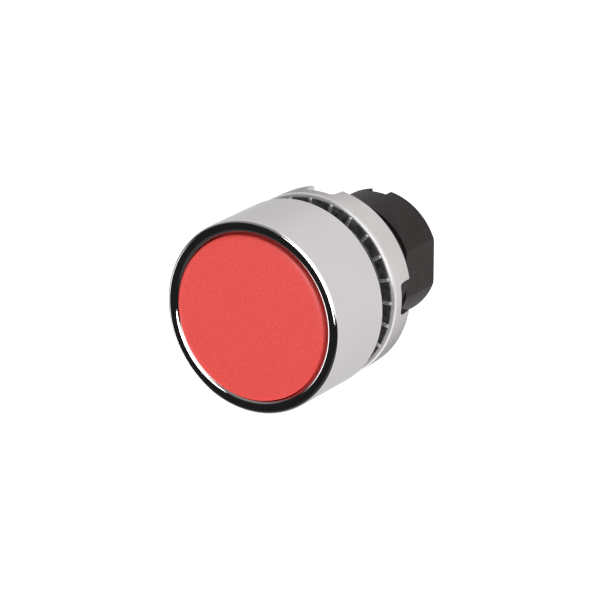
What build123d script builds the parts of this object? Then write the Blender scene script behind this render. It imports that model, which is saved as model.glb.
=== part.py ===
from build123d import *
import os

# Flush spring-return push-button head for a 22 mm panel hole.
# Millimetres. The button's axis is Y: the red face looks along -Y and the rear collar points along +Y.
# The origin is on that axis, in the plane where the gasket meets the front of the panel. +Z is up.

# ---- bezel and the stack clamped in it ----
rim_y = -13.5             # front rim of the bezel
bezel_rear_y = -0.6       # rear edge of the bezel
bezel_radius = 14.9
cap_bore_radius = 13.0    # where the cap slides
stack_bore_radius = 13.6  # rear counterbore that takes the barrel's flange
stack_front_y = -3.9      # shoulder at the bottom of that counterbore
flange_front_y = -3.3     # barrel flange, behind the diaphragm's rim
flange_rear_y = -1.5
flange_radius = 13.55
snap_ring_rear_y = -0.9
gasket_radius = 14.4
gasket_spigot_radius = 12.8

# ---- cap, plunger and travel ----
press_travel = 5.0
stop_gap = 0.1            # left between plunger and bush at the end of the travel
cap_proud = 0.4           # the cap's face stands this far out of the rim
cap_front_y = rim_y - cap_proud
cap_radius = 12.85
cap_edge_radius = 12.6    # at the face, in front of the drafted edge
cap_draft_length = 1.0
cap_wall = 1.3
cap_skirt_end_y = -9.3
disc_front_y = cap_front_y + cap_wall
disc_rear_y = disc_front_y + 1.0
disc_radius = 11.4        # plunger's disc, snapped into the cap
hub_radius = 8.0          # plunger's hub, which the diaphragm's cuff grips
cuff_radius = 8.5
stem_radius = 4.5
shoulder_radius = 5.5
stem_spigot_radius = 3.0
stem_spigot_y = 15.0
stem_end_y = 17.0
screw_hole_radius = 1.3
clip_front_y = 13.35
clip_rear_y = 14.05
clip_groove_radius = 3.9

# ---- barrel ----
thread_radius = 11.0      # M22 x 1.5, kept here as a plain cylinder of its major diameter
thread_start_y = 0.4
thread_end_y = 12.8
running_gap = 0.05        # radial clearance of the nut on the barrel and of the stem in its bush
neck_radius = 9.7         # groove between the thread and the rear collar
web_front_y = 6.0         # web that carries the guide bush and the spring
bush_radius = 6.2
chamber_radius = 8.6      # spring chamber in front of the web
rear_bore_radius = 7.4    # open end behind the web
spigot_radius = 8.6       # holds the rear collar
spigot_end_y = 20.5
bead_radius = 8.8         # snap bead on the spigot
bead_front_y = 18.9
bead_rear_y = 19.6
washer_slot_width = 2.4   # slot for the lock washer's tab, at the bottom
washer_slot_floor = 9.9
key_width = 3.0           # slot for the locating key, at the top
key_floor = 10.2
key_rear_y = 0.95
key_nose_radius = 12.4
lug_width = 2.0           # pusher's lugs, which run in two slots at the sides
lug_radius = 7.9

# ---- rear collar ----
collar_front_y = 15.7
collar_rear_y = 24.1
collar_radius = 10.12
collar_flat_x = 9.4
socket_radius = 8.4

# ---- return spring ----
spring_wire_radius = 0.45
spring_coil_radius = 6.25
spring_turns = 6
spring_front_y = -10.9    # floor of the plunger's spring pocket
seat_front_y = 5.5        # front face of the spring seat

# ---- pusher ----
pusher_front_y = 15.9
pusher_disc_rear_y = 17.4
pusher_hub_rear_y = 18.2
pusher_rear_y = 20.4      # ends of the two fingers

# ---- ring nut and lock washer ----
nut_radius = 14.7
nut_bevel = 0.35          # on the outer edges, front and rear
nut_face_y = 3.1          # floor between the ribs
nut_rib_y = 2.8           # tops of the ribs
nut_slot_floor_y = 5.37
nut_rear_y = 8.3
nut_slot_width = 5.0
nut_slot_corner = 0.6
nut_rib_count = 24
nut_rib_width = 0.55
washer_recess_radius = 12.3
washer_recess_y = 3.6


# ---- helpers ----
def turned(*points):
    """A body of revolution about Y, from its (radius, y) outline."""
    outline = Polyline(*points, close=True)
    return revolve(make_face(outline), Axis.Y)


def tube(outer, inner, front_y, rear_y):
    """A ring of rectangular section about Y."""
    return turned((inner, front_y), (outer, front_y), (outer, rear_y), (inner, rear_y))


def disc(radius, front_y, rear_y):
    """A solid cylinder about Y."""
    return Pos(0, front_y, 0) * Cylinder(radius, rear_y - front_y, rotation=(-90, 0, 0),
                                         align=(Align.CENTER, Align.CENTER, Align.MIN))


def block(width, front_y, rear_y, inner_z, outer_z, angle=0):
    """A radial bar above the axis, turned by angle degrees about Y."""
    bar = Box(width, rear_y - front_y, outer_z - inner_z, align=(Align.CENTER, Align.MIN, Align.MIN))
    return Rot(0, angle, 0) * Pos(0, front_y, inner_z) * bar


def round_edges(solid, radius, y, fillet_radius):
    """Fillet the circular edges of one radius in one plane across the axis."""
    found = [edge for edge in solid.edges().filter_by(GeomType.CIRCLE)
             if abs(edge.radius - radius) < 1e-3 and abs(edge.arc_center.Y - y) < 1e-3]
    return fillet(found, fillet_radius)


# ---- fixed pieces of the housing ----
def make_bezel():
    """Chromed front shell: flat rim, inner chamfer, cap bore, rear counterbore and snap-ring groove."""
    chamfer_radius = 13.4
    chamfer_depth = 0.2
    groove_radius = 13.95
    rim_fillet = 0.5
    rear_fillet = 0.2
    shell = turned((cap_bore_radius, rim_y + chamfer_depth), (chamfer_radius, rim_y),
                   (bezel_radius, rim_y), (bezel_radius, bezel_rear_y),
                   (stack_bore_radius, bezel_rear_y), (stack_bore_radius, snap_ring_rear_y),
                   (groove_radius, snap_ring_rear_y), (groove_radius, flange_rear_y),
                   (stack_bore_radius, flange_rear_y), (stack_bore_radius, stack_front_y),
                   (cap_bore_radius, stack_front_y))
    shell = round_edges(shell, bezel_radius, rim_y, rim_fillet)
    return round_edges(shell, bezel_radius, bezel_rear_y, rear_fillet)


def make_retaining_ring():
    """Split snap ring that holds the barrel's flange in the bezel."""
    outer = 13.9
    inner = 12.9
    split = 4.0
    ring = tube(outer, inner, flange_rear_y, snap_ring_rear_y)
    return ring - block(split, flange_rear_y - 1, 0, inner - 2, outer + 1, angle=180)


def make_barrel():
    """Black moulded barrel: flange, threaded part, neck, rear spigot and the web inside."""
    groove_floor = 12.85
    groove_front_y = -2.8
    groove_rear_y = -2.0
    slot_play = 0.1
    body = turned((chamber_radius, flange_front_y), (flange_radius, flange_front_y),
                  (flange_radius, groove_front_y), (groove_floor, groove_front_y),
                  (groove_floor, groove_rear_y), (flange_radius, groove_rear_y),
                  (flange_radius, flange_rear_y), (thread_radius, flange_rear_y),
                  (thread_radius, thread_end_y), (neck_radius, thread_end_y),
                  (neck_radius, collar_front_y), (spigot_radius, collar_front_y),
                  (spigot_radius, bead_front_y), (bead_radius, bead_front_y),
                  (bead_radius, bead_rear_y), (spigot_radius, bead_rear_y),
                  (spigot_radius, spigot_end_y), (rear_bore_radius, spigot_end_y),
                  (rear_bore_radius, thread_end_y), (bush_radius, thread_end_y),
                  (bush_radius, web_front_y), (chamber_radius, web_front_y))
    body -= block(washer_slot_width, thread_start_y, thread_end_y, washer_slot_floor,
                  thread_radius + 1, angle=180)
    body -= block(key_width, flange_rear_y, key_rear_y, key_floor, thread_radius + 1)
    inside = disc(rear_bore_radius - 0.5, thread_end_y - 1, spigot_end_y + 1)
    for angle in (90, 270):
        body -= block(lug_width + 2 * slot_play, thread_end_y, spigot_end_y, 0,
                      lug_radius + slot_play, angle) - inside
    return body


def make_bezel_o_ring():
    """Static seal in the groove of the barrel's flange."""
    section_radius = 0.35
    ring_radius = 13.22
    groove_middle_y = -2.4
    return Pos(0, groove_middle_y, 0) * Torus(ring_radius, section_radius, rotation=(90, 0, 0))


def make_diaphragm():
    """Rubber boot between the housing and the plunger: clamped rim, sloping wall, cuff on the hub."""
    rim_outer = flange_radius
    rim_inner = 10.8
    wall = 0.35
    cuff_front_y = -10.65
    cuff_rear_y = -9.4
    return turned((rim_outer, stack_front_y), (rim_outer, flange_front_y), (rim_inner, flange_front_y),
                  (hub_radius, cuff_rear_y), (hub_radius, cuff_front_y), (cuff_radius, cuff_front_y),
                  (cuff_radius, cuff_rear_y - 0.1), (rim_inner + wall, stack_front_y))


def make_panel_gasket():
    """Soft ring under the bezel, with a spigot that centres it inside the bezel's rear edge."""
    bore = thread_radius + running_gap
    edge_fillet = 0.15
    gasket = turned((bore, flange_rear_y), (gasket_spigot_radius, flange_rear_y),
                    (gasket_spigot_radius, bezel_rear_y), (gasket_radius, bezel_rear_y),
                    (gasket_radius, 0), (bore, 0))
    return round_edges(gasket, gasket_radius, 0, edge_fillet)


def make_locating_key():
    """Small key at the top of the barrel that stops the head turning in a notched panel hole."""
    shank = block(key_width, flange_rear_y, key_rear_y, key_floor, thread_radius)
    nose = block(key_width, 0, key_rear_y, thread_radius - 0.5, key_nose_radius)
    return (shank & disc(thread_radius, flange_rear_y, key_rear_y)) + nose


def make_guide_bush():
    """Low-friction bush pressed into the barrel's web, in which the stem slides."""
    bore = stem_radius + running_gap
    lead = 0.4
    return turned((bore, web_front_y + lead), (bore + lead, web_front_y), (bush_radius, web_front_y),
                  (bush_radius, thread_end_y), (bore + lead, thread_end_y), (bore, thread_end_y - lead))


def make_spring_seat():
    """Steel washer between the return spring and the web."""
    inner = 5.65
    return tube(chamber_radius - 0.2, inner, seat_front_y, web_front_y)


def make_bumper_washer():
    """Rubber washer that the clip lands on when the button comes back."""
    thickness = 0.5
    return tube(rear_bore_radius - 0.2, stem_radius + 0.2, thread_end_y, thread_end_y + thickness)


def make_return_spring():
    """Compression spring between the plunger and the spring seat."""
    height = seat_front_y - spring_front_y - 2 * spring_wire_radius
    helix = Helix(height / spring_turns, height, spring_coil_radius)
    section = Plane(origin=helix @ 0, z_dir=helix % 0) * Circle(spring_wire_radius)
    coil = sweep(section, path=helix, is_frenet=True)
    return Pos(0, seat_front_y - spring_wire_radius, 0) * Rot(90, 0, 0) * coil


def make_rear_collar():
    """Coupling collar at the rear: two flats, a notch at the top of its rim, snapped on the spigot."""
    bore = spigot_radius + running_gap
    snap_radius = bead_radius + running_gap
    snap_front_y = bead_front_y - running_gap
    snap_rear_y = bead_rear_y + running_gap
    notch_width = 3.4
    notch_depth = 1.0
    notch_length = 1.8
    rear_fillet = 0.25
    collar = turned((bore, collar_front_y), (collar_radius, collar_front_y),
                    (collar_radius, collar_rear_y), (socket_radius, collar_rear_y),
                    (socket_radius, spigot_end_y), (bore, spigot_end_y), (bore, snap_rear_y),
                    (snap_radius, snap_rear_y), (snap_radius, snap_front_y), (bore, snap_front_y))
    collar = round_edges(collar, collar_radius, collar_rear_y, rear_fillet)
    for side in (-1, 1):
        beyond_flat = Pos(side * (collar_flat_x + 2), (collar_front_y + collar_rear_y) / 2, 0)
        collar -= beyond_flat * Box(4, 20, 30)
    collar -= block(notch_width, collar_rear_y - notch_length, collar_rear_y + 1,
                    collar_radius - notch_depth, collar_radius + 1)
    return collar


# ---- pieces that move with the button ----
def make_button_cap():
    """Red cap: flat front, drafted and rounded edge, thin skirt, four catches behind the plunger's disc."""
    skirt_radius = disc_radius + 0.1
    catch_inner = 10.9
    catch_width = 4.0
    catch_rear_y = disc_rear_y + 0.6
    edge_fillet = 0.2
    inner_y = cap_front_y + cap_wall
    cap = turned((0, cap_front_y), (cap_edge_radius, cap_front_y),
                 (cap_radius, cap_front_y + cap_draft_length), (cap_radius, cap_skirt_end_y),
                 (skirt_radius, cap_skirt_end_y), (skirt_radius, inner_y), (0, inner_y))
    cap = round_edges(cap, cap_edge_radius, cap_front_y, edge_fillet)
    catch_ring = tube(skirt_radius + 0.3, catch_inner, disc_rear_y, catch_rear_y)
    for angle in (45, 135, 225, 315):
        cap += catch_ring & block(catch_width, disc_rear_y, catch_rear_y, hub_radius, cap_radius + 1, angle)
    return cap


def make_plunger():
    """Cap carrier and stem in one moulding, with the spring pocket, stop shoulder and clip groove."""
    shoulder_rear_y = web_front_y - press_travel - stop_gap
    pocket_radius = 7.0
    hub_rear_y = -8.6
    screw_hole_depth = 6.0
    body = turned((0, disc_front_y), (disc_radius, disc_front_y),
                  (disc_radius, disc_rear_y), (hub_radius, disc_rear_y),
                  (hub_radius, hub_rear_y), (pocket_radius, hub_rear_y),
                  (pocket_radius, spring_front_y), (shoulder_radius, spring_front_y),
                  (shoulder_radius, shoulder_rear_y), (stem_radius, shoulder_rear_y),
                  (stem_radius, clip_front_y), (clip_groove_radius, clip_front_y),
                  (clip_groove_radius, clip_rear_y), (stem_radius, clip_rear_y),
                  (stem_radius, stem_spigot_y), (stem_spigot_radius, stem_spigot_y),
                  (stem_spigot_radius, stem_end_y), (0, stem_end_y))
    return body - disc(screw_hole_radius, stem_end_y - screw_hole_depth, stem_end_y)


def make_cuff_ring():
    """Steel band that clamps the diaphragm's cuff on the plunger's hub."""
    thickness = 0.4
    front_y = -10.5
    rear_y = -9.8
    return tube(cuff_radius + thickness, cuff_radius, front_y, rear_y)


def make_circlip():
    """E-clip in the stem's groove, which stops the button at rest."""
    clip_radius = 6.0
    mouth = 3.4
    relief_width = 1.6
    relief_radius = 4.8
    clip = tube(clip_radius, clip_groove_radius + running_gap, clip_front_y, clip_rear_y)
    clip -= block(mouth, clip_front_y - 1, clip_rear_y + 1, 0, clip_radius + 2, angle=180)
    for angle in (60, 300):
        clip -= block(relief_width, clip_front_y - 1, clip_rear_y + 1, 3, relief_radius, angle)
    return clip


def make_pusher():
    """Rear pusher that works the contact blocks: hub, disc, two guide lugs and two curved fingers."""
    pusher_radius = rear_bore_radius - 0.2
    hub = 4.4
    finger_inner = 5.4
    finger_width = 6.0
    body = disc(pusher_radius, pusher_front_y, pusher_disc_rear_y)
    body += disc(hub, stem_spigot_y, pusher_hub_rear_y)
    for angle in (90, 270):
        body += block(lug_width, pusher_front_y, pusher_disc_rear_y, pusher_radius - 1, lug_radius, angle)
    finger_ring = tube(pusher_radius, finger_inner, pusher_disc_rear_y, pusher_rear_y)
    body += finger_ring & Pos(0, pusher_disc_rear_y, 0) * Box(finger_width, 10, 20)
    body -= disc(stem_spigot_radius, stem_spigot_y, stem_end_y)
    return body - disc(screw_hole_radius, stem_spigot_y, pusher_rear_y)


def make_pusher_screw():
    """Pan-head screw that holds the pusher on the stem."""
    shank_radius = 1.25
    shank_depth = 5.0
    head_radius = 2.3
    head_rear_y = pusher_hub_rear_y + 1.5
    head_fillet = 0.5
    slot = Box(0.6, 1.6, 2.8)
    screw = disc(shank_radius, stem_end_y - shank_depth, pusher_hub_rear_y)
    screw += disc(head_radius, pusher_hub_rear_y, head_rear_y)
    screw = round_edges(screw, head_radius, head_rear_y, head_fillet)
    for angle in (0, 90):
        screw -= Pos(0, head_rear_y, 0) * Rot(0, angle, 0) * slot
    return screw


# ---- pieces on the thread ----
def make_lock_washer():
    """Washer that the nut pushes along the barrel; its tab runs in the barrel's slot."""
    play = 0.1
    ring = tube(washer_recess_radius - play, thread_radius + play, nut_rib_y, washer_recess_y)
    tab = block(washer_slot_width - 2 * play, nut_rib_y, washer_recess_y, washer_slot_floor + play,
                thread_radius + 0.6, angle=180)
    return ring + tab


def make_ring_nut():
    """Castellated ring nut: ribbed front face, recess for the washer, four spanner slots behind."""
    bore = thread_radius + running_gap
    rib_inner = washer_recess_radius + 0.1
    rib_outer = nut_radius - nut_bevel + 0.1
    rear_radius = nut_radius - 0.12      # slight draft on the castellations
    nut = turned((washer_recess_radius, nut_face_y), (nut_radius - nut_bevel, nut_face_y),
                 (nut_radius, nut_face_y + nut_bevel), (nut_radius, nut_slot_floor_y),
                 (rear_radius, nut_rear_y - nut_bevel), (rear_radius - nut_bevel, nut_rear_y),
                 (bore, nut_rear_y), (bore, washer_recess_y), (washer_recess_radius, washer_recess_y))
    slot = block(nut_slot_width, nut_slot_floor_y, nut_rear_y + 1, bore - 2, nut_radius + 1)
    slot = fillet(slot.edges().filter_by(Axis.Z).group_by(Axis.Y)[0], nut_slot_corner)
    for step in range(4):
        nut -= Rot(0, 90 * step, 0) * slot
    rib = block(nut_rib_width, nut_rib_y, nut_face_y + 0.2, rib_inner, rib_outer)
    for step in range(nut_rib_count):
        nut += Rot(0, 360 / nut_rib_count * step, 0) * rib
    return nut


makers = {
    "bezel": make_bezel,
    "retaining_ring": make_retaining_ring,
    "bezel_o_ring": make_bezel_o_ring,
    "diaphragm": make_diaphragm,
    "barrel": make_barrel,
    "panel_gasket": make_panel_gasket,
    "locating_key": make_locating_key,
    "guide_bush": make_guide_bush,
    "spring_seat": make_spring_seat,
    "bumper_washer": make_bumper_washer,
    "return_spring": make_return_spring,
    "rear_collar": make_rear_collar,
    "button_cap": make_button_cap,
    "plunger": make_plunger,
    "cuff_ring": make_cuff_ring,
    "circlip": make_circlip,
    "pusher": make_pusher,
    "pusher_screw": make_pusher_screw,
    "lock_washer": make_lock_washer,
    "ring_nut": make_ring_nut,
}

os.makedirs("parts", exist_ok=True)
for name, make in makers.items():
    export_step(make(), f"parts/{name}.step")
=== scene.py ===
import math

import bmesh
import bpy
from mathutils import Matrix, Vector


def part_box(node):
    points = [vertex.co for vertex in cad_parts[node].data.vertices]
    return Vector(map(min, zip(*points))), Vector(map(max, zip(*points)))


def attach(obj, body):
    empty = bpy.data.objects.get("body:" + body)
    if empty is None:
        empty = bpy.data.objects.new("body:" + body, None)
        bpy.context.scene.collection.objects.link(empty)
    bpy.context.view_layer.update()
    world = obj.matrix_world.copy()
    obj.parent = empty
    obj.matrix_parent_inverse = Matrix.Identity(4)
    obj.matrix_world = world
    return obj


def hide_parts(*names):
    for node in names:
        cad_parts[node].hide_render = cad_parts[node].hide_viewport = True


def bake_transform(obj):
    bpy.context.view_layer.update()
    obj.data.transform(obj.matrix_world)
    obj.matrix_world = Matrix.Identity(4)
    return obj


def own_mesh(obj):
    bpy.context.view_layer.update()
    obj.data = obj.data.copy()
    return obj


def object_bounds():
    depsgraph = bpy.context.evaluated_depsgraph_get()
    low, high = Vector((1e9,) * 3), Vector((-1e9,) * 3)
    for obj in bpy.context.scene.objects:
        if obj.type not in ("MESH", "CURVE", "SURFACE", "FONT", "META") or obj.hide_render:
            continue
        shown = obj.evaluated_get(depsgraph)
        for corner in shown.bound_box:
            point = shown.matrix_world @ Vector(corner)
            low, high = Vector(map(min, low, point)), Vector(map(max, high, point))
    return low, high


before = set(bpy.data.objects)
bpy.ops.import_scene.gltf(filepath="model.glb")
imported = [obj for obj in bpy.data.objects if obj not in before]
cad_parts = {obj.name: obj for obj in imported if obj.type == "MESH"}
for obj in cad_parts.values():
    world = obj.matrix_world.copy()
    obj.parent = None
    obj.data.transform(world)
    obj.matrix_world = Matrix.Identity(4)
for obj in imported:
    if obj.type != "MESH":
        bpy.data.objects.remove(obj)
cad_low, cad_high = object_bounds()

# The button's axis is Y: the red face looks along -Y, the rear collar along +Y, and +Z is up.
# Outlines are (radius, y) in millimetres, as in the CAD, and MM turns them into metres.
MM = 0.001
STEPS = 240               # facets round the axis
ARC_STEP = 11.25          # degrees between the points of a rounded corner
GUARD = 0.03              # flat margin beside a rounded corner, which keeps the shading of the flat even


def reach(node):
    """Largest radius, front y and rear y of a CAD node, in millimetres."""
    low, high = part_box(node)
    return max(high.x, high.z) / MM, low.y / MM, high.y / MM


# ---- sizes, read from the frame ----
bezel_radius, rim_y, bezel_rear_y = reach("bezel")
cap_radius, cap_front_y, cap_skirt_end_y = reach("button_cap")
gasket_radius, gasket_front_y, _ = reach("panel_gasket")
flange_radius, flange_front_y, spigot_end_y = reach("barrel")
collar_radius, collar_front_y, collar_rear_y = reach("rear_collar")
collar_flat_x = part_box("rear_collar")[1].x / MM
nut_radius, nut_rib_y, nut_rear_y = reach("ring_nut")
pusher_lug_radius, pusher_hub_front_y, pusher_rear_y = reach("pusher")
pusher_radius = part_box("pusher")[1].z / MM
screw_head_radius, screw_front_y, screw_head_y = reach("pusher_screw")
spring_radius, spring_front_y, spring_rear_y = reach("return_spring")
diaphragm_radius, cuff_front_y, diaphragm_rear_y = reach("diaphragm")

# ---- sizes inside those boxes, the same as in the CAD but for the nut's front edge ----
cap_bore_radius = 13.0
stack_bore_radius = 13.6  # the bezel's rear bore, which holds the stack of barrel flange and diaphragm
stack_front_y = -3.9
flange_rear_y = -1.5
snap_ring_rear_y = -0.9
cuff_radius = 8.0         # the diaphragm's grip on the plunger
cuff_rear_y = -9.4
thread_radius = 11.0
thread_pitch = 1.5
thread_start_y = 0.4
thread_end_y = 12.8
neck_radius = 9.7
chamber_radius = 8.6
web_front_y = 6.0
bush_radius = 6.2
rear_bore_radius = 7.4
spigot_radius = 8.6
snap_radius = 8.8         # raised ring on the spigot that holds the collar
snap_front_y = 18.9
snap_rear_y = 19.6
socket_radius = 8.4
nut_face_y = 3.1
nut_slot_floor_y = 5.37
nut_slot_half = 2.5
nut_slot_corner = 0.6
nut_rear_edge = 0.35
nut_front_edge = 0.6      # a rounding, where the CAD has a 0.35 chamfer
nut_draft = 0.12          # how much the nut's outside narrows to its rear
nut_bore_radius = 11.05
washer_recess_radius = 12.3
washer_recess_y = 3.6
rib_count = 24
rib_half_width = 0.275
pusher_hub_rear_y = 18.2  # the screw's head bears here


# ---- mesh helpers ----
def rounded(corners, closed=True):
    """Outline points from (radius, y, rounding) corners: each rounding is an arc with a short flat margin."""
    points = []
    count = len(corners)
    for index, (radius, y, rounding) in enumerate(corners):
        here = Vector((radius, y))
        if rounding == 0 or (not closed and index in (0, count - 1)):
            points.append(here)
            continue
        before = (Vector(corners[index - 1][:2]) - here).normalized()
        after = (Vector(corners[(index + 1) % count][:2]) - here).normalized()
        turn = math.pi - before.angle(after)
        tangent = rounding * math.tan(turn / 2)
        centre = here + (before + after).normalized() * rounding / math.cos(turn / 2)
        first = here + before * tangent - centre
        last = here + after * tangent - centre
        pieces = max(2, math.ceil(math.degrees(turn) / ARC_STEP))
        points.append(here + before * (tangent + GUARD))
        for step in range(pieces + 1):
            share = step / pieces
            blend = first * math.sin((1 - share) * turn) + last * math.sin(share * turn)
            points.append(centre + blend / math.sin(turn))
        points.append(here + after * (tangent + GUARD))
    return points


def make_piece(name, vertices, faces, crease=35):
    """A mesh object from millimetre points: welded, facing outwards, and smooth but at edges over crease."""
    mesh = bpy.data.meshes.new(name)
    mesh.from_pydata([Vector(v) * MM for v in vertices], [], faces)
    work = bmesh.new()
    work.from_mesh(mesh)
    bmesh.ops.remove_doubles(work, verts=work.verts, dist=1e-7)
    bmesh.ops.dissolve_degenerate(work, edges=work.edges, dist=1e-7)
    bmesh.ops.recalc_face_normals(work, faces=work.faces)
    work.to_mesh(mesh)
    work.free()
    finish_shading(mesh, crease)
    piece = bpy.data.objects.new(name, mesh)
    bpy.context.scene.collection.objects.link(piece)
    return piece


def finish_shading(mesh, crease):
    mesh.polygons.foreach_set("use_smooth", [True] * len(mesh.polygons))
    mesh.set_sharp_from_angle(angle=math.radians(crease))


def on_axis(radius, y, angle):
    """The point at that radius and y, turned by angle (radians) from +Z towards +X."""
    return Vector((radius * math.sin(angle), y, radius * math.cos(angle)))


def grid_faces(columns, rows, ring=True):
    """Faces between columns of rows vertices; a ring also joins the last column to the first."""
    faces = []
    for column in range(columns if ring else columns - 1):
        other = (column + 1) % columns
        for row in range(rows):
            up = (row + 1) % rows
            faces.append((column * rows + row, column * rows + up, other * rows + up, other * rows + row))
    return faces


def capped_faces(columns, rows):
    """Faces of an open run of columns, with both ends closed."""
    ends = [range(rows), range((columns - 1) * rows, columns * rows)]
    return grid_faces(columns, rows, ring=False) + [list(end) for end in ends]


def turned(outline, angles):
    """The outline's points at each of the angles about Y."""
    return [on_axis(radius, y, angle) for angle in angles for radius, y in outline]


def lathe(name, corners):
    """A turned ring; a corner at radius 0 makes it solid there."""
    outline = rounded(corners)
    angles = [2 * math.pi * step / STEPS for step in range(STEPS)]
    return make_piece(name, turned(outline, angles), grid_faces(STEPS, len(outline)))


def bar(name, low, high, angle=0.0, edge=0.0):
    """A box between two corners (x, y, z), with edges rounded by edge, turned about Y."""
    size = Vector(high) - Vector(low)
    centre = (Vector(high) + Vector(low)) / 2
    work = bmesh.new()
    bmesh.ops.create_cube(work, size=1, matrix=Matrix.Diagonal((*size, 1)))
    if edge:
        bmesh.ops.bevel(work, geom=work.edges[:], offset=edge, segments=3, profile=0.5, affect="EDGES")
    bmesh.ops.transform(work, matrix=Matrix.Rotation(angle, 4, "Y") @ Matrix.Translation(centre),
                        verts=work.verts)
    work.verts.index_update()
    vertices = [vertex.co.copy() for vertex in work.verts]
    faces = [[vertex.index for vertex in face.verts] for face in work.faces]
    work.free()
    return make_piece(name, vertices, faces)


def settle(piece, crease=None):
    """Apply the piece's modifiers to its mesh."""
    graph = bpy.context.evaluated_depsgraph_get()
    mesh = bpy.data.meshes.new_from_object(piece.evaluated_get(graph))
    piece.modifiers.clear()
    old = piece.data
    piece.data = mesh
    bpy.data.meshes.remove(old)
    if crease is not None:
        finish_shading(mesh, crease)


def combine(piece, tools, operation, crease=35):
    """Boolean the tools into the piece, one after another, and delete them."""
    for tool in tools:
        modifier = piece.modifiers.new(tool.name, "BOOLEAN")
        modifier.operation = operation
        modifier.solver = "EXACT"
        modifier.object = tool
        bpy.context.view_layer.update()
        settle(piece, crease)
        mesh = tool.data
        bpy.data.objects.remove(tool)
        bpy.data.meshes.remove(mesh)


def soften(piece, width, segments=3, angle=40):
    """Round every edge sharper than angle degrees, and keep the faces beside it flat."""
    modifier = piece.modifiers.new("edges", "BEVEL")
    modifier.width = width * MM
    modifier.segments = segments
    modifier.limit_method = "ANGLE"
    modifier.angle_limit = math.radians(angle)
    modifier.harden_normals = True
    bpy.context.view_layer.update()
    settle(piece)


def finish_piece(piece, material, slot, body, *nodes):
    """Give the piece its material, the body it rides on and the CAD nodes it stands for; the slot argument is
    not used.
    """
    if not any(piece.data.materials):
        piece.data.materials.clear()
        piece.data.materials.append(material)
    if body:
        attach(piece, body)
    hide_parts(*nodes)


# ---- material helpers ----
class Shader:
    """A node material: a Principled shader and short calls that add nodes in front of it."""

    def __init__(self, name):
        self.material = bpy.data.materials.new(name)
        self.material.use_nodes = True
        self.tree = self.material.node_tree
        self.tree.nodes.clear()
        output = self.tree.nodes.new("ShaderNodeOutputMaterial")
        self.main = self.tree.nodes.new("ShaderNodeBsdfPrincipled")
        self.tree.links.new(self.main.outputs["BSDF"], output.inputs["Surface"])
        self.place = self.tree.nodes.new("ShaderNodeTexCoord").outputs["Object"]

    def set(self, **values):
        for name, value in values.items():
            self.main.inputs[name.replace("_", " ")].default_value = value

    def feed(self, name, output):
        self.tree.links.new(output, self.main.inputs[name])

    def noise(self, grain, detail=2.0):
        """Noise whose spots are about grain millimetres across."""
        texture = self.tree.nodes.new("ShaderNodeTexNoise")
        texture.inputs["Scale"].default_value = 1 / (grain * MM)
        texture.inputs["Detail"].default_value = detail
        self.tree.links.new(self.place, texture.inputs["Vector"])
        return texture.outputs["Fac"]

    def span(self, value, low, high, start=0.3, end=0.7):
        """Map the middle of a noise to low..high."""
        node = self.tree.nodes.new("ShaderNodeMapRange")
        node.inputs["From Min"].default_value = start
        node.inputs["From Max"].default_value = end
        node.inputs["To Min"].default_value = low
        node.inputs["To Max"].default_value = high
        self.tree.links.new(value, node.inputs["Value"])
        return node.outputs["Result"]

    def shade(self, value, dark, light):
        """A colour between dark and light by value."""
        node = self.tree.nodes.new("ShaderNodeMix")
        node.data_type = "RGBA"
        node.inputs["A"].default_value = (*dark, 1)
        node.inputs["B"].default_value = (*light, 1)
        self.tree.links.new(value, node.inputs["Factor"])
        return node.outputs["Result"]

    def bump(self, height, depth, strength=1.0):
        """Surface relief of depth millimetres, stacked on any relief already there."""
        node = self.tree.nodes.new("ShaderNodeBump")
        node.inputs["Distance"].default_value = depth * MM
        node.inputs["Strength"].default_value = strength
        normal = self.main.inputs["Normal"]
        if normal.is_linked:
            self.tree.links.new(normal.links[0].from_socket, node.inputs["Normal"])
        self.tree.links.new(height, node.inputs["Height"])
        self.tree.links.new(node.outputs["Normal"], normal)


def chrome_material(name, dark, light, edge):
    """Bright chrome; edge is how bright it stays at a glancing angle."""
    shader = Shader(name)
    shader.set(Metallic=1.0, Specular_Tint=(edge, edge, edge, 1))
    shader.feed("Base Color", shader.shade(shader.span(shader.noise(9.0), 0, 1), dark, light))
    shader.feed("Roughness", shader.span(shader.noise(1.6, 4.0), 0.035, 0.075))
    shader.bump(shader.noise(2.5, 1.0), 0.002, 0.5)
    shader.bump(shader.noise(0.12, 2.0), 0.0004, 0.4)
    return shader.material


def red_cap_material():
    """Satin red plastic with a fine moulded grain."""
    shader = Shader("red_cap")
    shader.set(Specular_IOR_Level=0.5)
    grain = shader.span(shader.noise(0.22, 1.0), 0, 1)
    shader.feed("Base Color", shader.shade(grain, (0.82, 0.060, 0.050), (0.99, 0.092, 0.080)))
    shader.feed("Roughness", shader.span(shader.noise(0.3), 0.30, 0.40))
    shader.bump(shader.noise(0.25, 1.0), 0.02, 0.3)
    shader.bump(shader.noise(1.2, 1.0), 0.03, 0.15)
    return shader.material


def plastic_material(name, dark, light, roughness, grain, depth):
    """Dull moulded plastic or rubber; its grain and the grain's depth are in millimetres."""
    shader = Shader(name)
    shader.set(Specular_IOR_Level=0.2)
    shader.feed("Base Color", shader.shade(shader.span(shader.noise(2.0, 4.0), 0, 1), dark, light))
    shader.feed("Roughness", shader.span(shader.noise(0.5), roughness - 0.06, roughness + 0.06))
    shader.bump(shader.noise(grain, 2.0), depth, 0.4)
    return shader.material


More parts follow.
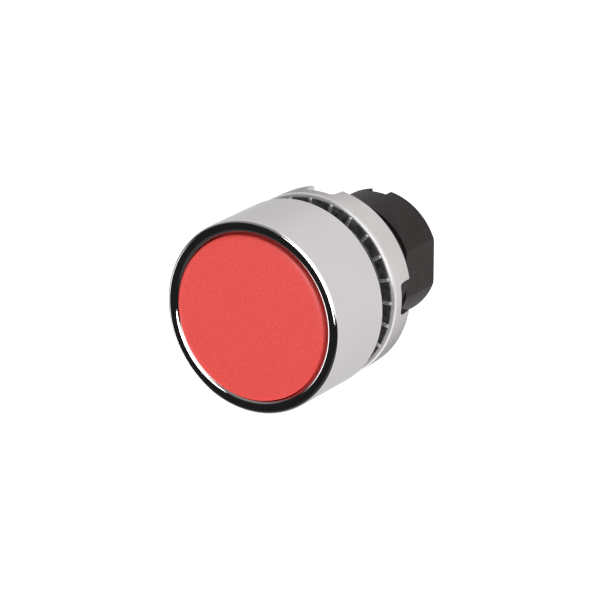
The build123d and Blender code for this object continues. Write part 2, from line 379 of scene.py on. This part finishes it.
def steel_material(name, dark, light, roughness, metallic=1.0):
    """Metal with fine pits; below 1.0, metallic lets some light scatter as a worn or cast surface does."""
    shader = Shader(name)
    shader.set(Metallic=metallic)
    shader.feed("Base Color", shader.shade(shader.span(shader.noise(1.0, 4.0), 0, 1), dark, light))
    shader.feed("Roughness", shader.span(shader.noise(0.15, 3.0), roughness - 0.08, roughness + 0.1))
    shader.bump(shader.noise(0.08, 2.0), 0.004, 0.3)
    return shader.material


# ---- materials ----
bezel_chrome = chrome_material("bezel_chrome", (0.735, 0.70, 0.705), (0.76, 0.725, 0.73), 0.82)
nut_chrome = chrome_material("nut_chrome", (0.72, 0.695, 0.69), (0.80, 0.775, 0.77), 0.5)
rib_metal = steel_material("rib_metal", (0.78, 0.77, 0.76), (0.88, 0.87, 0.86), 0.26, 0.5)
# painted highlight: a near-white, rougher metal that keeps the nut's front rounding bright as a highlight
# line, even where it mirrors the dark room
painted_highlight_metal = steel_material("painted_highlight_edge", (0.93, 0.905, 0.90), (0.99, 0.965, 0.96), 0.2, 0.5)
# painted shade: a dark, rougher metal for the nut's flat front face, standing in for the bezel's shadow and
# the dark room it mirrors
painted_shade_face_metal = steel_material("painted_shade_face_metal", (0.10, 0.10, 0.095), (0.36, 0.355, 0.35), 0.55, 0.9)
red_cap = red_cap_material()
black_plastic = plastic_material(
    "black_plastic", (0.018, 0.013, 0.013), (0.027, 0.021, 0.020), 0.52, 0.15, 0.006)
rubber = plastic_material("rubber", (0.011, 0.011, 0.011), (0.020, 0.020, 0.020), 0.72, 0.25, 0.012)
acetal = plastic_material("natural_acetal", (0.70, 0.69, 0.63), (0.78, 0.77, 0.72), 0.38, 0.4, 0.004)
zinc_steel = steel_material("zinc_steel", (0.50, 0.51, 0.52), (0.62, 0.62, 0.61), 0.30)
spring_steel = steel_material("spring_steel", (0.34, 0.34, 0.35), (0.48, 0.47, 0.46), 0.24)


# ---- bezel ----
def make_bezel():
    """The front shell: flat rim, shallow inner chamfer, and a groove for the snap ring at the rear."""
    chamfer_radius = 13.4
    chamfer_depth = 0.2
    ring_groove_radius = 13.95
    corners = [
        (cap_bore_radius, rim_y + chamfer_depth, 0.05), (chamfer_radius, rim_y, 0.9),
        (bezel_radius, rim_y, 0.5), (bezel_radius, bezel_rear_y, 0.2),
        (stack_bore_radius, bezel_rear_y, 0.05), (stack_bore_radius, snap_ring_rear_y, 0),
        (ring_groove_radius, snap_ring_rear_y, 0), (ring_groove_radius, flange_rear_y, 0),
        (stack_bore_radius, flange_rear_y, 0), (stack_bore_radius, stack_front_y, 0),
        (cap_bore_radius, stack_front_y, 0),
    ]
    piece = lathe("bezel_shell", corners)
    finish_piece(piece, bezel_chrome, "chrome", "housing", "bezel")


def make_cap():
    """The cap's flat front turns down in two soft steps, then widens a little to its skirt."""
    wall = 1.3
    draft_length = 1.0
    skirt_bore_radius = 11.5
    inner_y = cap_front_y + wall
    corners = [
        (0, cap_front_y, 0), (11.8, cap_front_y, 4.0), (12.4, cap_front_y + 0.05, 0.3),
        (12.7, cap_front_y + 0.15, 0.1), (cap_radius, cap_front_y + draft_length, 0.3),
        (cap_radius, cap_skirt_end_y, 0.1), (skirt_bore_radius, cap_skirt_end_y, 0),
        (skirt_bore_radius, inner_y, 0), (0, inner_y, 0),
    ]
    piece = lathe("cap_shell", corners)
    finish_piece(piece, red_cap, "red_plastic", "button", "button_cap")


def make_gasket():
    """Flat ring with a spigot into the bezel and a shallow groove in its panel face, at y 0."""
    bore = 11.05
    spigot = 12.8
    groove_radius = 13.3
    groove_half = 0.3
    groove_depth = 0.12
    corners = [
        (bore, gasket_front_y, 0), (spigot, gasket_front_y, 0), (spigot, bezel_rear_y, 0),
        (gasket_radius, bezel_rear_y, 0.1), (gasket_radius, 0, 0.2),
        (groove_radius + groove_half, 0, 0.05), (groove_radius, -groove_depth, 0.05),
        (groove_radius - groove_half, 0, 0.05), (bore, 0, 0.1),
    ]
    piece = lathe("gasket_ring", corners)
    finish_piece(piece, rubber, "rubber", "housing", "panel_gasket")


def make_diaphragm():
    """Conical boot from the clamped rim at the rear to the cuff on the plunger."""
    cone_bore_radius = 10.8
    cone_radius = 11.15
    cuff_outer_radius = 8.5
    rim_rear_y = diaphragm_rear_y
    corners = [
        (diaphragm_radius, stack_front_y, 0), (diaphragm_radius, rim_rear_y, 0),
        (cone_bore_radius, rim_rear_y, 0.2), (cuff_radius, cuff_rear_y, 0.2), (cuff_radius, cuff_front_y, 0),
        (cuff_outer_radius, cuff_front_y, 0.1), (cuff_outer_radius, cuff_rear_y - 0.1, 0.3),
        (cone_radius, stack_front_y, 0.3),
    ]
    piece = lathe("diaphragm_boot", corners)
    finish_piece(piece, rubber, "rubber", None, "diaphragm")
    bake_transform(piece)


def make_spring():
    """Coil spring with its end turns closed up, as a tube round a helix."""
    wire = 0.45               # radius of the wire
    coil = spring_radius - wire
    turns = 8
    steps = 48                # columns to a turn
    sides = 12                # of the wire
    first = spring_front_y + wire
    last = spring_rear_y - wire
    closed = 2 * wire * 1.02  # pitch of the closed end turns
    open_pitch = (last - first - 2 * closed) / (turns - 2)

    def centre(turn):
        if turn < 1:
            height = first + closed * turn
        elif turn > turns - 1:
            height = last - closed * (turns - turn)
        else:
            height = first + closed + open_pitch * (turn - 1)
        return on_axis(coil, height, 2 * math.pi * turn)

    vertices = []
    along = Vector((0, 1, 0))
    columns = turns * steps + 1
    for step in range(columns):
        out = on_axis(1, 0, 2 * math.pi * step / steps)
        middle = centre(step / steps)
        for side in range(sides):
            round_wire = 2 * math.pi * side / sides
            vertices.append(middle + wire * (math.cos(round_wire) * out + math.sin(round_wire) * along))
    piece = make_piece("spring_coil", vertices, capped_faces(columns, sides))
    finish_piece(piece, spring_steel, "spring_steel", "housing", "return_spring")
    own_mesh(piece)


# ---- barrel with its thread ----
def make_barrel():
    """The moulded barrel: each column of the grid follows the thread's helix between the plain ends."""
    root = thread_radius - 0.54 * thread_pitch
    shape = [(0.0, root), (0.31, thread_radius), (0.44, thread_radius), (0.75, root)]  # shares of the pitch
    runout = 0.6              # where the thread rises from its root at either end
    turns = math.ceil((thread_end_y - thread_start_y) / thread_pitch) + 1
    seal_groove_radius = 12.85
    seal_groove_front_y = -2.8
    seal_groove_rear_y = -2.0
    front = rounded([
        (chamber_radius, web_front_y, 0), (chamber_radius, flange_front_y, 0.1),
        (flange_radius, flange_front_y, 0.1), (flange_radius, seal_groove_front_y, 0),
        (seal_groove_radius, seal_groove_front_y, 0), (seal_groove_radius, seal_groove_rear_y, 0),
        (flange_radius, seal_groove_rear_y, 0), (flange_radius, flange_rear_y, 0.1),
        (thread_radius, flange_rear_y, 0), (thread_radius, thread_start_y, 0),
    ], closed=False)
    rear = rounded([
        (neck_radius, thread_end_y, 0), (neck_radius, collar_front_y, 0),
        (spigot_radius, collar_front_y, 0), (spigot_radius, snap_front_y, 0),
        (snap_radius, snap_front_y + 0.1, 0), (snap_radius, snap_rear_y - 0.2, 0),
        (spigot_radius, snap_rear_y, 0), (spigot_radius, spigot_end_y, 0.1),
        (rear_bore_radius, spigot_end_y, 0.1), (rear_bore_radius, thread_end_y, 0.1),
        (bush_radius, thread_end_y, 0), (bush_radius, web_front_y, 0),
    ], closed=False)
    vertices = []
    for step in range(STEPS + 1):
        share = step / STEPS
        thread = []
        for turn in range(-1, turns):
            for offset, radius in shape:
                y = thread_start_y + thread_pitch * (turn + offset + share)
                y = min(max(y, thread_start_y), thread_end_y)
                depth = min((y - thread_start_y) / runout, (thread_end_y - y) / runout, 1.0)
                thread.append((root + (radius - root) * depth, y))
        column = [*front, *thread, *rear]
        vertices += turned(column, [2 * math.pi * step / STEPS])
    piece = make_piece("barrel_body", vertices, grid_faces(STEPS + 1, len(column), ring=False))
    slots = [
        bar("washer_slot", (-1.2, thread_start_y, -12), (1.2, thread_end_y + 0.5, -9.9), edge=0.1),
        bar("key_slot", (-1.5, flange_rear_y, 10.2), (1.5, 0.95, 12), edge=0.1),
    ]
    for side in (-1, 1):
        inner, outer = sorted((side * 6.0, side * 8.0))
        slots.append(bar("lug_slot", (inner, thread_end_y + 0.4, -1.1), (outer, spigot_end_y + 1, 1.1),
                         edge=0.1))
    combine(piece, slots, "DIFFERENCE")
    finish_piece(piece, black_plastic, "black_plastic", "housing", "barrel")


# ---- rear collar ----
def make_collar():
    """A turned sleeve pressed flat at both sides, with a notch at the top of its rear rim."""
    play = 0.05
    bore = spigot_radius + play
    groove_radius = snap_radius + play
    groove_front_y = snap_front_y - play
    groove_rear_y = snap_rear_y + play
    outline = rounded([
        (bore, collar_front_y, 0.1), (collar_radius, collar_front_y, 0.15),
        (collar_radius, collar_rear_y, 0.25), (socket_radius, collar_rear_y, 0.25),
        (socket_radius, spigot_end_y, 0), (bore, spigot_end_y, 0), (bore, groove_rear_y, 0),
        (groove_radius, groove_rear_y, 0), (groove_radius, groove_front_y, 0), (bore, groove_front_y, 0),
    ])
    corner = math.asin(collar_flat_x / collar_radius)  # where the round meets a flat
    stops = [corner, math.pi - corner, math.pi + corner, 2 * math.pi - corner, 2 * math.pi + corner]
    angles = []
    for start, end in zip(stops, stops[1:]):
        pieces = round((end - start) / (2 * math.pi) * STEPS)
        angles += [start + (end - start) * step / pieces for step in range(pieces)]
    vertices = turned(outline, angles)
    for vertex in vertices:
        vertex.x = min(max(vertex.x, -collar_flat_x), collar_flat_x)
    flat_crease = 18          # the flats meet the round at a low angle
    piece = make_piece("collar_sleeve", vertices, grid_faces(len(angles), len(outline)), flat_crease)
    notch_half = 1.7
    notch_depth = 1.8
    notch = bar("notch", (-notch_half, collar_rear_y - notch_depth, collar_radius - 1.0),
                (notch_half, collar_rear_y + 2, collar_radius + 2), edge=0.1)
    combine(piece, [notch], "DIFFERENCE", flat_crease)
    finish_piece(piece, black_plastic, "black_plastic", "housing", "rear_collar")


# ---- ring nut ----
def castle_edge():
    """Half of one quadrant's rear edge: the slot's floor from its middle, then the castellation's top.

    Each entry is (kind, amount, edge y). An "offset" is sideways from the slot's middle, and a "share" is
    of the way round from the slot's side to the castellation's middle."""
    corner = nut_slot_corner
    arc = [math.radians(angle) for angle in range(0, 91, 15)]
    top_steps = 24
    floor = [("offset", nut_slot_half * share, nut_slot_floor_y) for share in (0.0, 0.25, 0.5)]
    floor += [("offset", nut_slot_half - corner + corner * math.sin(angle),
               nut_slot_floor_y + corner * (1 - math.cos(angle))) for angle in arc]
    top = [("offset", nut_slot_half, nut_rear_y)]
    top += [("share", step / top_steps, nut_rear_y) for step in range(1, top_steps + 1)]
    return floor, top


def nut_angle(kind, amount, radius):
    if kind == "offset":
        return math.asin(amount / radius)
    edge = math.asin(nut_slot_half / radius)
    return edge + (math.pi / 4 - edge) * amount


def make_nut():
    """Ring nut as four mirrored quadrants of columns, whose rear ends follow the slots."""
    slot_top = nut_slot_floor_y + nut_slot_corner
    middle_y = 5.0            # in the solid ring, in front of the slots
    middle_radius = nut_radius - 0.02
    front = rounded([(nut_radius, middle_y, 0), (nut_radius, nut_face_y, nut_front_edge),
                     (washer_recess_radius, nut_face_y, 0)], closed=False)
    rear = rounded([(nut_bore_radius, nut_rear_y, 0), (nut_radius - nut_draft, nut_rear_y, nut_rear_edge),
                    (middle_radius, slot_top, 0)], closed=False)
    inside = [(washer_recess_radius, washer_recess_y), (nut_bore_radius, washer_recess_y),
              (nut_bore_radius, middle_y)]
    floor, top = castle_edge()

    def column(kind, amount, edge_y, tall):
        """Points from the bore's rear edge outwards, forwards, and back in through the washer recess."""
        if tall:
            steps = [*rear, *front, *inside, (nut_bore_radius, slot_top)]
        else:
            steps = [(nut_bore_radius, edge_y), (middle_radius, edge_y), *front, *inside]
        return [(radius, y, nut_angle(kind, amount, radius)) for radius, y in steps]

    vertices = []
    faces = []

    def place(points, quarter, mirror):
        start = len(vertices)
        for radius, y, angle in points:
            vertices.append(on_axis(radius, y, quarter * math.pi / 2 + mirror * angle))
        return list(range(start, start + len(points)))

    def strip(left, right):
        for index in range(len(left)):
            after = (index + 1) % len(left)
            faces.append((left[index], left[after], right[after], right[index]))

    for quarter in range(4):
        for mirror in (-1, 1):
            short = [place(column(kind, amount, y, False), quarter, mirror) for kind, amount, y in floor]
            tall = [place(column(kind, amount, y, True), quarter, mirror) for kind, amount, y in top]
            for columns in (short, tall):
                for left, right in zip(columns, columns[1:]):
                    strip(left, right)
            wall = tall[0]
            faces.append((*wall[:len(rear)], wall[-1]))
    piece = make_piece("nut_ring", vertices, faces)
    soften(piece, width=0.13)
    paint_nut(piece.data)
    join(piece, make_ribs())
    finish_piece(piece, nut_chrome, "chrome", "nut", "ring_nut")


def paint_nut(mesh):
    """Chrome, with painted shade on the flat front face and a painted highlight on the rounded edge round it.
    """
    for material in (nut_chrome, painted_shade_face_metal, painted_highlight_metal):
        mesh.materials.append(material)
    flat = -0.999
    for polygon in mesh.polygons:
        if polygon.center.y > (nut_face_y + nut_front_edge) * MM:
            continue
        # the flat front face takes the painted-shade metal
        if polygon.normal.y < flat:
            polygon.material_index = 1
        # the outer rounding of the front face takes the painted-highlight metal
        elif math.hypot(polygon.center.x, polygon.center.z) > (nut_radius - nut_front_edge) * MM:
            polygon.material_index = 2


def make_ribs():
    """Radial ribs that stand on the nut's front face, each sunk a little into it."""
    ribs = []
    for step in range(rib_count):
        rib = bar("rib", (-rib_half_width, nut_rib_y, washer_recess_radius + 0.1),
                  (rib_half_width, nut_face_y + 0.2, nut_radius - nut_front_edge + 0.1),
                  angle=2 * math.pi * step / rib_count, edge=0.2)
        rib.data.materials.append(rib_metal)
        ribs.append(rib)
    return ribs


def join(piece, others):
    """Put the other pieces' meshes into the first one."""
    with bpy.context.temp_override(active_object=piece, selected_editable_objects=[piece, *others]):
        bpy.ops.object.join()


# ---- pusher and its screw ----
def make_pusher():
    """A disc on a hub, with a guide lug at either side and a finger at top and bottom."""
    hole = 1.3
    hub = 4.4
    disc_front_y = 15.9
    disc_rear_y = 17.4
    body = lathe("pusher_disc", [
        (hole, pusher_hub_front_y, 0), (hub, pusher_hub_front_y, 0.2), (hub, disc_front_y, 0),
        (pusher_radius, disc_front_y, 0.15), (pusher_radius, disc_rear_y, 0.15), (hub, disc_rear_y, 0.1),
        (hub, pusher_hub_rear_y, 0.25), (hole, pusher_hub_rear_y, 0.1),
    ])
    additions = []
    for side in (-1, 1):
        inner, outer = sorted((side * (pusher_radius - 1), side * pusher_lug_radius))
        additions.append(bar("lug", (inner, disc_front_y + 0.02, -1), (outer, disc_rear_y - 0.02, 1),
                             edge=0.12))
        additions.append(make_finger(side, disc_rear_y - 0.5))
    combine(body, additions, "UNION")
    finish_piece(body, acetal, "natural_acetal", "button", "pusher")


def make_finger(side, front_y):
    """Curved finger at the top or bottom of the pusher: a short piece of a ring 6 mm wide."""
    half_width = 3.0
    inner = 5.4
    outer = pusher_radius - 0.02
    outline = rounded([
        (inner, front_y, 0), (outer, front_y, 0), (outer, pusher_rear_y, 0.3), (inner, pusher_rear_y, 0.3),
    ])
    middle = 0 if side > 0 else math.pi
    pieces = 24
    vertices = []
    for step in range(pieces + 1):
        share = 2 * step / pieces - 1
        for radius, y in outline:
            angle = middle + math.asin(half_width / radius) * share
            vertices.append(on_axis(radius, y, angle))
    return make_piece("finger", vertices, capped_faces(pieces + 1, len(outline)))


def make_screw():
    """Pan head screw with a cross recess."""
    shank = 1.25
    body = lathe("screw_pan", [
        (0, screw_front_y, 0), (shank * 0.8, screw_front_y, 0), (shank, screw_front_y + 0.4, 0),
        (shank, pusher_hub_rear_y, 0), (screw_head_radius, pusher_hub_rear_y, 0.15),
        (screw_head_radius, screw_head_y, 0.6), (0, screw_head_y, 0),
    ])
    half_width = 0.3
    half_length = 1.35
    depth = 0.8
    cutters = []
    for angle in (0, math.pi / 2):
        cutters.append(bar("recess", (-half_width, screw_head_y - depth, -half_length),
                           (half_width, screw_head_y + 1, half_length), angle=angle, edge=0.06))
    combine(body, cutters, "DIFFERENCE")
    finish_piece(body, zinc_steel, "steel", "button", "pusher_screw")


def dress_cad_nodes():
    """Procedural materials on the CAD nodes that stay."""
    finishes = {
        "retaining_ring": zinc_steel, "bezel_o_ring": rubber, "locating_key": black_plastic,
        "guide_bush": acetal, "spring_seat": zinc_steel, "bumper_washer": rubber,
        "plunger": black_plastic, "cuff_ring": zinc_steel, "circlip": spring_steel,
        "lock_washer": zinc_steel,
    }
    for node, material in finishes.items():
        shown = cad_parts[node]
        if not shown.material_slots:
            shown.data.materials.append(material)
        for material_slot in shown.material_slots:
            material_slot.material = material


# ---- floor, light and camera ----
def make_floor():
    """Plain white floor well below the button; it glows a little, so the button's shadow doesn't grey it."""
    half = 1.5
    gap = 0.012
    height = cad_low.z - gap
    corners = [(-half, -half, height), (half, -half, height), (half, half, height), (-half, half, height)]
    mesh = bpy.data.meshes.new("floor")
    mesh.from_pydata(corners, [], [(0, 1, 2, 3)])
    floor = bpy.data.objects.new("floor", mesh)
    bpy.context.scene.collection.objects.link(floor)
    shader = Shader("floor_white")
    shader.set(Roughness=0.9, Emission_Color=(1, 1, 1, 1), Emission_Strength=0.9)
    mottle = shader.span(shader.noise(40.0), 0, 1)
    shader.feed("Base Color", shader.shade(mottle, (0.86, 0.86, 0.86), (0.9, 0.9, 0.9)))
    mesh.materials.append(shader.material)
    floor.visible_glossy = False


def make_world():
    """What the chrome mirrors: a white studio behind, and a dark room in front with a few lights in it."""
    world = bpy.data.worlds.new("studio")
    bpy.context.scene.world = world
    world.use_nodes = True
    tree = world.node_tree
    tree.nodes.clear()
    direction = tree.nodes.new("ShaderNodeSeparateXYZ")
    tree.links.new(tree.nodes.new("ShaderNodeTexCoord").outputs["Generated"], direction.inputs["Vector"])

    def ramp(axis, start, end, low=0.0, high=1.0):
        """Low to high as the direction's X, Y or Z goes from start to end."""
        node = tree.nodes.new("ShaderNodeMapRange")
        node.interpolation_type = "SMOOTHSTEP"
        node.inputs["From Min"].default_value = start
        node.inputs["From Max"].default_value = end
        node.inputs["To Min"].default_value = low
        node.inputs["To Max"].default_value = high
        tree.links.new(direction.outputs[axis], node.inputs["Value"])
        return node.outputs["Result"]

    def calculate(operation, first, second):
        node = tree.nodes.new("ShaderNodeMath")
        node.operation = operation
        tree.links.new(first, node.inputs[0])
        tree.links.new(second, node.inputs[1])
        return node.outputs["Value"]

    # a large softbox at the upper right, and a narrow strip low at the left that draws the rim's bright line
    softbox = calculate("MULTIPLY", ramp("X", -0.25, 0.10), ramp("Z", -0.18, 0.02, 0.0, 1.9))
    strip = calculate("MULTIPLY", ramp("X", -0.69, -0.74), ramp("X", -0.86, -0.80))
    strip = calculate("MULTIPLY", strip, ramp("Z", -0.06, -0.22, 0.0, 3.4))
    ceiling = ramp("Z", 0.05, 0.50, 0.0, 0.38)
    ground = ramp("Z", -0.40, -0.60, 0.02, 0.08)
    front = calculate("MAXIMUM", calculate("MAXIMUM", softbox, strip), calculate("MAXIMUM", ceiling, ground))
    behind = ramp("Y", -0.20, -0.05)
    backdrop = ramp("X", -0.55, 0.0, 0.96, 1.07)
    mix = tree.nodes.new("ShaderNodeMix")
    tree.links.new(behind, mix.inputs["Factor"])
    tree.links.new(front, mix.inputs["A"])
    tree.links.new(backdrop, mix.inputs["B"])
    path = tree.nodes.new("ShaderNodeLightPath")

    def switch(kind, plain, special):
        """The plain strength, but the special one for one kind of light path."""
        node = tree.nodes.new("ShaderNodeMix")
        tree.links.new(path.outputs[kind], node.inputs["Factor"])
        tree.links.new(plain, node.inputs["A"])
        node.inputs["B"].default_value = special
        return node.outputs["Result"]

    # dim for diffuse light, so that the lamps shape it, and plain white where the camera sees it
    strength = switch("Is Camera Ray", switch("Diffuse Depth", mix.outputs["Result"], 0.14), 1.0)
    background = tree.nodes.new("ShaderNodeBackground")
    tree.links.new(strength, background.inputs["Strength"])
    output = tree.nodes.new("ShaderNodeOutputWorld")
    tree.links.new(background.outputs["Background"], output.inputs["Surface"])


def aim(thing, towards):
    """Turn a light or camera so that it looks along towards."""
    thing.rotation_euler = Vector(towards).to_track_quat("-Z", "Y").to_euler()


def make_light(name, direction, distance, size, power, mirrored=True):
    """A square lamp aimed at the button; chrome shows it only if it is mirrored."""
    light = bpy.data.lights.new(name, "AREA")
    light.shape = "SQUARE"
    light.size = size
    light.energy = power
    lamp = bpy.data.objects.new(name, light)
    bpy.context.scene.collection.objects.link(lamp)
    lamp.location = Vector(direction).normalized() * distance
    lamp.visible_glossy = mirrored
    aim(lamp, -lamp.location)


def make_camera():
    """Long lens at the front right, a little above the button."""
    azimuth = math.radians(32.06)
    elevation = math.radians(18.96)
    distance = 500 * MM
    pan_right = 7.20 * MM
    pan_up = 2.67 * MM
    away = Vector((math.sin(azimuth) * math.cos(elevation), -math.cos(azimuth) * math.cos(elevation),
                   math.sin(elevation)))
    right = Vector((math.cos(azimuth), math.sin(azimuth), 0))
    up = away.cross(right)
    camera_data = bpy.data.cameras.new("camera")
    camera_data.sensor_width = 36
    camera_data.lens = 203.7  # mm
    camera_data.clip_start = 0.01
    camera = bpy.data.objects.new("camera", camera_data)
    bpy.context.scene.collection.objects.link(camera)
    camera.location = Vector((0, rim_y * MM, 0)) + away * distance + right * pan_right + up * pan_up
    aim(camera, -away)
    bpy.context.scene.camera = camera


make_bezel()
make_cap()
make_gasket()
make_diaphragm()
make_spring()
make_barrel()
make_collar()
make_nut()
make_pusher()
make_screw()
dress_cad_nodes()
make_floor()
make_world()
make_light("key", (-0.12, -1.0, -0.05), distance=0.45, size=0.20, power=0.90)
make_light("fill", (-0.55, -0.60, 0.60), distance=0.60, size=0.40, power=0.15, mirrored=False)
make_light("back", (0.35, 0.85, 0.50), distance=0.60, size=0.40, power=1.0, mirrored=False)
make_camera()
bpy.context.scene.view_settings.view_transform = "Standard"
